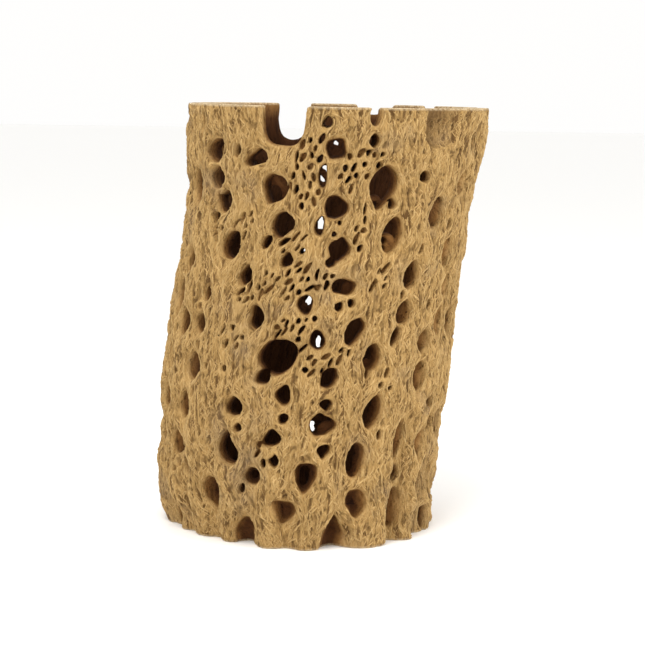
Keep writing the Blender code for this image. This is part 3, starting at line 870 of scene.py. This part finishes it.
def skin_map():
    """How far out the skin really lies, rims and all, and where there is any."""
    radius = outer + 0.6
    for _ in range(SKIN_STEPS):
        distance = wood_distance(wall_maps, radius)
        radius = radius - np.clip(0.8 * distance, -0.4, 0.8)
    solid = (np.abs(wood_distance(wall_maps, radius)) < 0.12) & (radius > outer - 2.2)
    return np.where(solid, radius, outer - 1.0), solid

def slope_across(values):
    """How much a map grows for every millimetre round the trunk."""
    return (np.roll(values, -1, axis=1) - np.roll(values, 1, axis=1)) / (2 * unrolled(CELL))

skin, solid = skin_map()
across_slope = slope_across(skin)
height_slope = np.gradient(skin, ROW, axis=0)
strand_across = slope_across(flow_maps[..., 0]) + 1.0
strand_up = np.gradient(flow_maps[..., 0], ROW, axis=0)
way = np.hypot(strand_up, strand_across) + 1e-6
skin_maps = np.stack([skin, across_slope, height_slope, -strand_up / way, strand_across / way, rim,
                      solid.astype(float), pits], axis=-1).astype(np.float32)
print("fibres may lie on", round(100 * float(solid.mean())), "% of the skin")

# %% Paths of the fibres
FIBRE_STEPS, LEAST_STEPS = 12, 5
FIBRE_LENGTH = (1.9, 5.4)
# Degrees off the strands, how far each fibre strays from those, and how far it sways
FIBRE_STRAYS, STRAY_SPREAD, FIBRE_WOBBLE = (-40, -26, -12, 12, 26, 40), 8.0, (2, 12)
SAW_GAP = 0.4
# How many more are traced than kept, because some soon run into a rim or a pit
SPARE = 1.9

def traced(count, low, high, rng):
    """Paths over the skin as degrees and height, for fibres that start between two heights."""
    angle = rng.uniform(-180, 180, count)
    height = rng.uniform(low, high, count)
    stray = np.radians(rng.choice(FIBRE_STRAYS, count) + rng.normal(0, STRAY_SPREAD, count))
    wobble = np.radians(rng.uniform(*FIBRE_WOBBLE, count))
    phase = rng.uniform(0, math.tau, count)
    step = rng.uniform(*FIBRE_LENGTH, count) / FIBRE_STEPS
    path = np.empty((FIBRE_STEPS, count, 2))
    good = np.empty((FIBRE_STEPS, count), dtype=bool)
    for index in range(FIBRE_STEPS):
        values = map_values(skin_maps, angle, height)
        path[index, :, 0], path[index, :, 1] = angle, height
        on_skin = (values[:, 6] > 0.6) & (values[:, 5] > 0.1) & (values[:, 7] < 0.45)
        good[index] = on_skin & (height > SAW_GAP) & (height < HEIGHT - SAW_GAP)
        turn = stray * np.clip(values[:, 5] / 2.5, 0.0, 1.0)
        turn = turn + wobble * np.sin(phase + index * step * 0.5)
        heading = np.arctan2(values[:, 3], values[:, 4]) + turn
        angle = angle + step * np.sin(heading) / unrolled(1.0) * TRUNK_RADIUS / values[:, 0]
        height = height + step * np.cos(heading)
    run = np.where(good.all(axis=0), FIBRE_STEPS, np.argmin(good, axis=0))
    long_enough = run >= LEAST_STEPS
    return path[:, long_enough], run[long_enough]

print("a fibre is", FIBRE_LENGTH, "mm long, traced in", FIBRE_STEPS, "steps")

# %% [markdown]
# ## A flat map for the fibres
#
# A finish can only be baked where every face has its own place on a flat map. An automatic map
# takes long over thousands of slim ridges, so each fibre is laid out as one strip by its numbers.

# %% Strip map
STRIP_COLUMNS = 24

def give_strip_map(mesh, count, rings):
    """Lays each fibre out as its own thin strip, so that no two share a place."""
    rows = math.ceil(count / STRIP_COLUMNS)
    corner = np.empty(len(mesh.loops), dtype=np.int32)
    mesh.loops.foreach_get("vertex_index", corner)
    fibre, place = corner // (rings * 3), corner % (rings * 3)
    ring, edge = place // 3, (place % 3).astype(float)
    edges = edge.reshape(-1, 3)
    slanted = np.ptp(ring.reshape(-1, 3), axis=1) > 0
    wraps = (edges.min(axis=1) == 0) & (edges.max(axis=1) == 2) & slanted
    edges[wraps] = np.where(edges[wraps] == 0, 3, edges[wraps])
    u = (fibre % STRIP_COLUMNS + 0.04 + 0.92 * ring / (rings - 1)) / STRIP_COLUMNS
    v = (fibre // STRIP_COLUMNS + 0.12 + 0.76 * edges.ravel() / 3) / rows
    layer = mesh.uv_layers.new(name="OFBake")
    layer.data.foreach_set("uv", np.stack([u, v], axis=1).astype(np.float32).ravel())

print("strips lie in", STRIP_COLUMNS, "columns")

# %% Places along a fibre
FIBRE_RINGS = 5
RING_SHARE = np.linspace(0, 1, FIBRE_RINGS)[:, None]

def even_path(path, run):
    """Evenly spaced places along each path, from its first step to its last good one."""
    at = RING_SHARE * (run - 1)
    i = np.minimum(at.astype(int), FIBRE_STEPS - 2)
    t = (at - i)[..., None]
    each = np.arange(len(run))[None, :]
    return path[i, each] * (1 - t) + path[i + 1, each] * t

def on_the_skin(path):
    """Where paths lie in space, which way is out of the skin, and which way is beside them."""
    angle, height = path[..., 0], path[..., 1]
    values = map_values(skin_maps, angle, height)
    turn = np.radians(angle)
    lean = np.interp(height, TRUNK_HEIGHTS, TRUNK_LEAN)
    out = np.stack([np.sin(turn), -np.cos(turn), np.zeros_like(turn)], axis=-1)
    side = np.stack([np.cos(turn), np.sin(turn), np.zeros_like(turn)], axis=-1)
    up = np.array([0.0, 0.0, 1.0])
    axis = np.stack([FOOT_X + lean, np.full_like(lean, FOOT_Y), height], axis=-1)
    middle = out * values[..., :1] + axis
    normal = out - side * values[..., 1:2] - up * values[..., 2:3]
    normal /= np.linalg.norm(normal, axis=-1, keepdims=True)
    along = np.gradient(middle, axis=0)
    along /= np.linalg.norm(along, axis=-1, keepdims=True) + 1e-9
    return middle, normal, np.cross(along, normal)

print("each fibre has", FIBRE_RINGS, "rings along it")

# %% Ridges
STOUT_SHARE = 0.45
STOUT_WIDTH, FINE_WIDTH = (0.65, 1.0), (0.38, 0.6)
# The height of a fibre as a share of its width
FIBRE_HEIGHT = (0.24, 0.4)
# How deep a fibre's feet and its two ends go under the skin, and how far it stays off a saw cut
FOOT_SINK, END_SINK, SAW_TRIM = 0.16, 0.22, 0.02

def ridge_points(path, run, rng):
    """For each ring of each fibre, two feet under the skin and a crest above it."""
    count = len(run)
    middle, normal, beside = on_the_skin(even_path(path, run))
    stout = rng.random(count) < STOUT_SHARE
    thick = np.where(stout, rng.uniform(*STOUT_WIDTH, count), rng.uniform(*FINE_WIDTH, count))
    thick *= np.clip(0.55 + run / FIBRE_STEPS * 0.5, 0, 1)
    taper = np.sin(np.pi * np.clip(RING_SHARE, 0.03, 0.97)) ** 0.45
    ends = 1 - taper[..., None]
    half = (thick * taper / 2)[..., None]
    tall = (thick * rng.uniform(*FIBRE_HEIGHT, count) * taper)[..., None] - END_SINK * ends
    sunk = -FOOT_SINK - 0.15 * ends
    ring = np.stack([middle - beside * half + normal * sunk, middle + normal * tall,
                     middle + beside * half + normal * sunk], axis=2)
    ring = ring.transpose(1, 0, 2, 3).reshape(-1, 3)
    ring[:, 2] = np.clip(ring[:, 2], SAW_TRIM, HEIGHT - SAW_TRIM)
    return ring

def ridge_faces(count):
    """Triangles of this many ridges with three sides, capped at both ends."""
    rings = np.arange(FIBRE_RINGS - 1)[:, None]
    corner = np.arange(3)[None, :]
    other = (corner + 1) % 3
    quad = np.stack([rings * 3 + corner, rings * 3 + other, (rings + 1) * 3 + other,
                     (rings + 1) * 3 + corner], axis=-1).reshape(-1, 4)
    caps = np.array([[0, 2, 1], [0, 1, 2] + np.array(3 * (FIBRE_RINGS - 1))])
    one = np.concatenate([quad[:, [0, 1, 2]], quad[:, [0, 2, 3]], caps])
    return (one[None] + (np.arange(count) * FIBRE_RINGS * 3)[:, None, None]).reshape(-1, 3)

print("a fibre takes", len(ridge_faces(1)), "triangles")

# %% Fibres
FIBRES_A_PIECE = 7300

def fibre_piece(name, count, low, high, seed):
    """Slim ridges along traced paths, as one mesh, each closed and sunk into the skin."""
    rng = np.random.default_rng(seed)
    path, run = traced(int(count * SPARE), low, high, rng)
    path, run = path[:, :count], run[:count]
    count = len(run)
    mesh = mesh_from(name, ridge_points(path, run, rng), ridge_faces(count))
    give_grain(mesh)
    tone = np.repeat(rng.uniform(0, 1, count), FIBRE_RINGS * 3)
    # The crest mask, 1 on a fibre's back and 0 at its feet, paints light and shade across each
    # fibre
    store(mesh, tone=tone, crest=np.tile([0.0, 1.0, 0.0], count * FIBRE_RINGS))
    give_strip_map(mesh, count, FIBRE_RINGS)
    print(name, "holds", count, "fibres,", len(mesh.polygons), "triangles")
    return in_scene(name, mesh)

bands = [("fibres_foot", -1, 38, 21), ("fibres_low", 37, 76, 22), ("fibres_high", 75, 114, 23),
         ("fibres_top", 113, 150, 24)]
fibres = [fibre_piece(name, FIBRES_A_PIECE, low, high, seed) for name, low, high, seed in bands]

# %% [markdown]
# ## Effects that the finishes share
#
# The colour of weathered cholla comes from a weave of light fibres over gaps painted darker as
# shade, greyer patches where dust and sun have worked, painted shade that turns the tunnels brown
# and then nearly black with depth, and pale clean wood at the saw cuts, with a painted highlight
# along their edges. Each is a node group with named inputs, so the net and its fibres always match.

# %% Nodes
def group_tree(name, inputs, outputs):
    """An empty node group with named inputs, as (name, kind, default), and named outputs."""
    tree = bpy.data.node_groups.new(name, "ShaderNodeTree")
    for label, kind, default in inputs:
        socket = tree.interface.new_socket(label, in_out="INPUT", socket_type=kind)
        if default is not None:
            socket.default_value = default
    for label, kind in outputs:
        tree.interface.new_socket(label, in_out="OUTPUT", socket_type=kind)
    tree.nodes.new("NodeGroupInput")
    tree.nodes.new("NodeGroupOutput")
    return tree

def node(tree, kind, values=None, **settings):
    made = tree.nodes.new(kind)
    for key, value in settings.items():
        setattr(made, key, value)
    for key, value in (values or {}).items():
        made.inputs[key].default_value = value
    return made

def link(tree, out, into):
    tree.links.new(out, into)

def maths(tree, operation, one, two=None, clamp=False):
    made = node(tree, "ShaderNodeMath", operation=operation, use_clamp=clamp)
    for index, value in enumerate((one, two)):
        if value is None:
            continue
        if isinstance(value, (int, float)):
            made.inputs[index].default_value = value
        else:
            link(tree, value, made.inputs[index])
    return made.outputs[0]

def finished_group(tree, result):
    """Hands a group's result out of it, and the group back."""
    link(tree, result, tree.nodes["Group Output"].inputs[0])
    return tree

print("node groups before the first effect:", len(bpy.data.node_groups))

# %% Colours in nodes
def mixed(tree, factor, one, two, blend="MIX"):
    """One colour over another, each given as a socket or as three numbers."""
    mix = node(tree, "ShaderNodeMix", data_type="RGBA", blend_type=blend)
    for value, label in ((factor, "Factor"), (one, "A"), (two, "B")):
        socket = mix.inputs[label]
        if isinstance(value, (int, float)):
            socket.default_value = value
        elif isinstance(value, tuple):
            socket.default_value = (*value, 1.0)
        else:
            link(tree, value, socket)
    return mix.outputs["Result"]

def ramped(tree, factor, stops):
    """A colour ramp through stops, each a place and a colour."""
    ramp = node(tree, "ShaderNodeValToRGB")
    for index, (place, colour) in enumerate(stops):
        if index == 0:
            stop = ramp.color_ramp.elements[0]
        elif index == len(stops) - 1:
            stop = ramp.color_ramp.elements[-1]
        else:
            stop = ramp.color_ramp.elements.new(place)
        stop.position, stop.color = place, (*colour, 1.0)
    link(tree, factor, ramp.inputs["Fac"])
    return ramp.outputs["Color"]

def ranged(tree, value, low, high, to_low=0.0, to_high=1.0):
    scaled = node(tree, "ShaderNodeMapRange",
                  {"From Min": low, "From Max": high, "To Min": to_low, "To Max": to_high})
    link(tree, value, scaled.inputs["Value"])
    return scaled.outputs["Result"]

print("helpers for colour:", [made.__name__ for made in (mixed, ramped, ranged)])

# %% Layer of fibres
def fibre_layer():
    """Fibres that follow the strands at an angle, as a height that also gives grain and painted
    shade.
    """
    tree = group_tree("fibre_layer", [
        ("Grain", "NodeSocketVector", None), ("Lean", "NodeSocketFloat", 0.0),
        ("Fibre Width", "NodeSocketFloat", 0.0005), ("Fibre Length", "NodeSocketFloat", 0.008),
        ("Shift", "NodeSocketFloat", 0.0),
    ], [("Height", "NodeSocketFloat")])
    got = tree.nodes["Group Input"].outputs
    apart = node(tree, "ShaderNodeSeparateXYZ")
    link(tree, got["Grain"], apart.inputs[0])
    turned = node(tree, "ShaderNodeVectorRotate", rotation_type="Z_AXIS")
    link(tree, got["Grain"], turned.inputs["Vector"])
    slant = maths(tree, "MULTIPLY", apart.outputs["Z"], got["Lean"])
    link(tree, maths(tree, "DIVIDE", slant, TRUNK_RADIUS * MM), turned.inputs["Angle"])
    split = node(tree, "ShaderNodeSeparateXYZ")
    link(tree, turned.outputs[0], split.inputs[0])
    joined = node(tree, "ShaderNodeCombineXYZ")
    link(tree, maths(tree, "DIVIDE", split.outputs["X"], got["Fibre Width"]), joined.inputs["X"])
    link(tree, maths(tree, "DIVIDE", split.outputs["Y"], got["Fibre Width"]), joined.inputs["Y"])
    along = maths(tree, "DIVIDE", split.outputs["Z"], got["Fibre Length"])
    link(tree, maths(tree, "ADD", along, got["Shift"]), joined.inputs["Z"])
    noise = node(tree, "ShaderNodeTexNoise", {"Scale": 1.0, "Detail": 2.0, "Roughness": 0.55})
    link(tree, joined.outputs[0], noise.inputs["Vector"])
    off = maths(tree, "ABSOLUTE", maths(tree, "SUBTRACT", noise.outputs["Fac"], 0.5))
    ridge = maths(tree, "SUBTRACT", 1.0, maths(tree, "MULTIPLY", off, 4.0), clamp=True)
    return finished_group(tree, ridge)

LAYER = fibre_layer()
print(LAYER.name, "has the sockets", [item.name for item in LAYER.interface.items_tree])

# %% Weathered patches
DUSTY = (0.27, 0.20, 0.125)

def weathering():
    """Greyer patches, where dust and sun have worked on the wood."""
    tree = group_tree("weathered_patches", [
        ("Colour", "NodeSocketColor", None), ("Patch Scale", "NodeSocketFloat", 45.0),
        ("Greyness", "NodeSocketFloat", 0.45)], [("Colour", "NodeSocketColor")])
    got = tree.nodes["Group Input"].outputs
    spot = node(tree, "ShaderNodeTexCoord")
    patches = node(tree, "ShaderNodeTexNoise", {"Detail": 4.0, "Roughness": 0.6})
    link(tree, spot.outputs["Object"], patches.inputs["Vector"])
    link(tree, got["Patch Scale"], patches.inputs["Scale"])
    greyer = ranged(tree, patches.outputs["Fac"], 0.55, 0.75)
    much = maths(tree, "MULTIPLY", greyer, got["Greyness"])
    return finished_group(tree, mixed(tree, much, got["Colour"], DUSTY))

WEATHERING = weathering()
print(WEATHERING.name, "greys towards", DUSTY)

# %% Painted shade of the tunnels
SLIT_BROWN, STAIN_BROWN = (0.075, 0.036, 0.012), (0.13, 0.07, 0.025)
# Painted shade: the deeper a place lies in a tunnel, the darker its colour
DEPTH_STOPS = [(0.0, (1, 1, 1)), (0.16, (0.92, 0.88, 0.84)), (0.4, (0.46, 0.34, 0.25)),
               (0.72, (0.15, 0.085, 0.056)), (1.0, (0.105, 0.055, 0.034))]

def tunnel_gloom():
    """Painted shade, darker the deeper in a tunnel, in the pits and over the dishes, with a stain
    there.
    """
    tree = group_tree("tunnel_gloom", [
        ("Colour", "NodeSocketColor", None), ("Depth", "NodeSocketFloat", 0.0),
        ("Slit", "NodeSocketFloat", 0.0), ("Stain", "NodeSocketFloat", 0.0),
    ], [("Colour", "NodeSocketColor")])
    got = tree.nodes["Group Input"].outputs
    # Painted shade: the pits are coloured darker brown
    in_slit = ranged(tree, got["Slit"], 0.2, 1.0, 0.0, 0.6)
    colour = mixed(tree, in_slit, got["Colour"], SLIT_BROWN)
    # Painted shade and a stain: the dishes are coloured darker brown, most at their top left
    stained = ranged(tree, got["Stain"], 0.1, 1.0, 0.0, 0.95)
    colour = mixed(tree, stained, colour, STAIN_BROWN)
    shade = ramped(tree, got["Depth"], DEPTH_STOPS)
    return finished_group(tree, mixed(tree, 1.0, colour, shade, "MULTIPLY"))

GLOOM = tunnel_gloom()
print(GLOOM.name, "darkens in", len(DEPTH_STOPS), "steps")

# %% Sawn ends, with a painted highlight along their edges
PALE_STOPS = [(0.35, (0.34, 0.23, 0.12)), (0.6, (0.66, 0.53, 0.34))]

def sawn_end():
    """Paler, cleaner wood on the two saw cuts, and a painted highlight just along their edges."""
    tree = group_tree("sawn_end", [
        ("Colour", "NodeSocketColor", None), ("Edge", "NodeSocketFloat", 0.0009),
    ], [("Colour", "NodeSocketColor")])
    got = tree.nodes["Group Input"].outputs
    spot = node(tree, "ShaderNodeTexCoord")
    apart = node(tree, "ShaderNodeSeparateXYZ")
    link(tree, spot.outputs["Object"], apart.inputs[0])
    middle = maths(tree, "SUBTRACT", apart.outputs["Z"], HEIGHT / 2 * MM)
    off = maths(tree, "SUBTRACT", HEIGHT / 2 * MM, maths(tree, "ABSOLUTE", middle))
    edge = maths(tree, "SUBTRACT", 1.0, maths(tree, "DIVIDE", off, got["Edge"]), clamp=True)
    shape = node(tree, "ShaderNodeNewGeometry")
    normal = node(tree, "ShaderNodeSeparateXYZ")
    link(tree, shape.outputs["Normal"], normal.inputs[0])
    level = ranged(tree, maths(tree, "ABSOLUTE", normal.outputs["Z"]), 0.3, 0.9, 0.5, 1.0)
    pores = node(tree, "ShaderNodeTexNoise", {"Scale": 1400.0, "Detail": 2.0})
    link(tree, spot.outputs["Object"], pores.inputs["Vector"])
    pale = ramped(tree, pores.outputs["Fac"], PALE_STOPS)
    # Pale wood on the cut faces, and a painted highlight on the side faces next to them
    much = maths(tree, "MULTIPLY", maths(tree, "POWER", edge, 0.5), level)
    return finished_group(tree, mixed(tree, much, got["Colour"], pale))

SAWN_END = sawn_end()
print("shared effects:", [tree.name for tree in (LAYER, WEATHERING, GLOOM, SAWN_END)])

# %% [markdown]
# ## The two finishes of the wood
#
# The net and the loose fibres are the same dry wood. The net's colours are painted darker than
# the fibres', as shade, because it lies low in the weave, and darker still where fibres lie over
# it, so it shows in the gaps as short dark slits. A fibre's colour is painted lighter along its
# back and brown at its feet, as light and shade. Both are matt: cholla has no sap, wax or varnish
# left.

# %% Parts of a finish
# Layers of the weave: lean, width and length of a fibre in metres, and a shift
WEAVE = [(0.12, 0.0011, 0.007, 0.0), (0.62, 0.0010, 0.006, 3.0), (-0.55, 0.0010, 0.006, 7.0),
         (0.15, 0.0024, 0.018, 11.0)]

def stored(tree, name):
    """A number that the mesh carries."""
    return node(tree, "ShaderNodeAttribute", attribute_name=name).outputs["Fac"]

def effect(tree, group, colour, settings=None, sockets=None):
    """Puts a shared effect over a colour, with its numbers and its masks."""
    used = node(tree, "ShaderNodeGroup", node_tree=group)
    link(tree, colour, used.inputs["Colour"])
    for label, value in (settings or {}).items():
        used.inputs[label].default_value = value
    for label, attribute in (sockets or {}).items():
        link(tree, stored(tree, attribute), used.inputs[label])
    return used.outputs["Colour"]

def woven_height(tree, grain):
    """The weave as a height: three crossing layers of fibres over one broad layer."""
    heights = []
    for numbers in WEAVE:
        layer = node(tree, "ShaderNodeGroup", node_tree=LAYER)
        for label, value in zip(("Lean", "Fibre Width", "Fibre Length", "Shift"), numbers):
            layer.inputs[label].default_value = value
        link(tree, grain.outputs["Vector"], layer.inputs["Grain"])
        heights.append(layer.outputs["Height"])
    woven = maths(tree, "MAXIMUM", maths(tree, "MAXIMUM", heights[0], heights[1]), heights[2])
    return maths(tree, "ADD", woven, maths(tree, "MULTIPLY", heights[3], 0.8))

print("the weave has", len(WEAVE), "layers")

# %% Wood materials
WOOD_ROUGHNESS, WOOD_SHEEN = 0.82, 0.12
# The net's colours are darker than the fibres', as painted shade of wood that lies low in the weave
NET_STOPS = [(0.0, (0.12, 0.062, 0.02)), (0.45, (0.335, 0.203, 0.07)), (1.0, (0.47, 0.302, 0.12))]
FIBRE_STOPS = [(0.0, (0.22, 0.122, 0.041)), (0.45, (0.42, 0.263, 0.098)),
               (1.0, (0.545, 0.36, 0.152))]

def wood_material(name, stops, fibres):
    """Dry cholla wood, for the net or for the fibres that lie on it."""
    material = bpy.data.materials.new(name)
    material.use_nodes = True
    tree = material.node_tree
    shader = tree.nodes["Principled BSDF"]
    shader.inputs["Roughness"].default_value = WOOD_ROUGHNESS
    shader.inputs["Specular IOR Level"].default_value = WOOD_SHEEN
    relief = woven_height(tree, node(tree, "ShaderNodeAttribute", attribute_name="grain"))
    # Grain and painted shade: the weave's low places are coloured darker
    shade = ranged(tree, relief, 0.8, 1.75)
    if fibres:
        shade = maths(tree, "MULTIPLY", shade, 0.3)
        # Painted light and shade: a fibre is lighter along its back and darker at its feet; its
        # tone varies at random
        for mark in ("tone", "crest"):
            lighter = maths(tree, "MULTIPLY", stored(tree, mark), 0.45)
            shade = maths(tree, "ADD", shade, lighter)
        shade = maths(tree, "SUBTRACT", shade, 0.08, clamp=True)
    else:
        # Painted shade: the net is darker where fibres lie over it
        sunk = maths(tree, "MULTIPLY", stored(tree, "under"), 0.35)
        shade = maths(tree, "SUBTRACT", shade, sunk, clamp=True)
    colour = ramped(tree, shade, stops)
    colour = effect(tree, WEATHERING, colour, {"Patch Scale": 45.0, "Greyness": 0.45})
    # Painted shade by depth in the tunnels, in the pits, and over the dishes with their stain
    colour = effect(tree, GLOOM, colour, None, {"Depth": "depth", "Slit": "pit", "Stain": "stain"})
    link(tree, effect(tree, SAWN_END, colour, {"Edge": 0.0009}), shader.inputs["Base Color"])
    bump = node(tree, "ShaderNodeBump", {"Strength": 0.75, "Distance": 0.0008})
    link(tree, relief, bump.inputs["Height"])
    link(tree, bump.outputs["Normal"], shader.inputs["Normal"])
    return material

wood = wood_material("cholla_wood", NET_STOPS, fibres=False)
fibre_wood = wood_material("cholla_fibre", FIBRE_STOPS, fibres=True)
print("finishes:", wood.name, "and", fibre_wood.name)

# %% Pieces and their finishes
for piece in fibres:
    piece.data.materials.append(fibre_wood)
    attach(piece, "root")
skeleton.data.materials.clear()
skeleton.data.materials.append(wood)
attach(skeleton, "root")
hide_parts("cholla_skeleton")
print(skeleton.name, "and", len(fibres), "meshes of fibres are dressed")

# %% [markdown]
# ## The table
#
# The photographed piece stands on a plain white table. A wide pale sheet does the same: it takes
# the faint shadow at the foot and throws light up under the rims. It isn't part of the object.

# %% Floor
FLOOR_HALF = 6.0
TABLE_WHITE, TABLE_ROUGHNESS = (0.97, 0.965, 0.95, 1.0), 0.6

floor_mesh = bpy.data.meshes.new("floor")
corners = [(-FLOOR_HALF, -FLOOR_HALF, 0), (FLOOR_HALF, -FLOOR_HALF, 0),
           (FLOOR_HALF, FLOOR_HALF, 0), (-FLOOR_HALF, FLOOR_HALF, 0)]
floor_mesh.from_pydata(corners, [], [(0, 1, 2, 3)])
floor = in_scene("floor", floor_mesh)
paper = bpy.data.materials.new("white_table")
paper.use_nodes = True
surface = paper.node_tree.nodes["Principled BSDF"].inputs
surface["Base Color"].default_value = TABLE_WHITE
surface["Roughness"].default_value = TABLE_ROUGHNESS
floor.data.materials.append(paper)
floor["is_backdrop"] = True
print("table sheet of", 2 * FLOOR_HALF, "m, only for the picture")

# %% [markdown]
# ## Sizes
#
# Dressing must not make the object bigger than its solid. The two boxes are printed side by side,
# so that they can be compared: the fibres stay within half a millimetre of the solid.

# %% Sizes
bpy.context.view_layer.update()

for label, box in (("solid", CAD_BOX), ("dressed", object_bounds())):
    print(label, [[round(v / MM, 1) for v in corner] for corner in box])
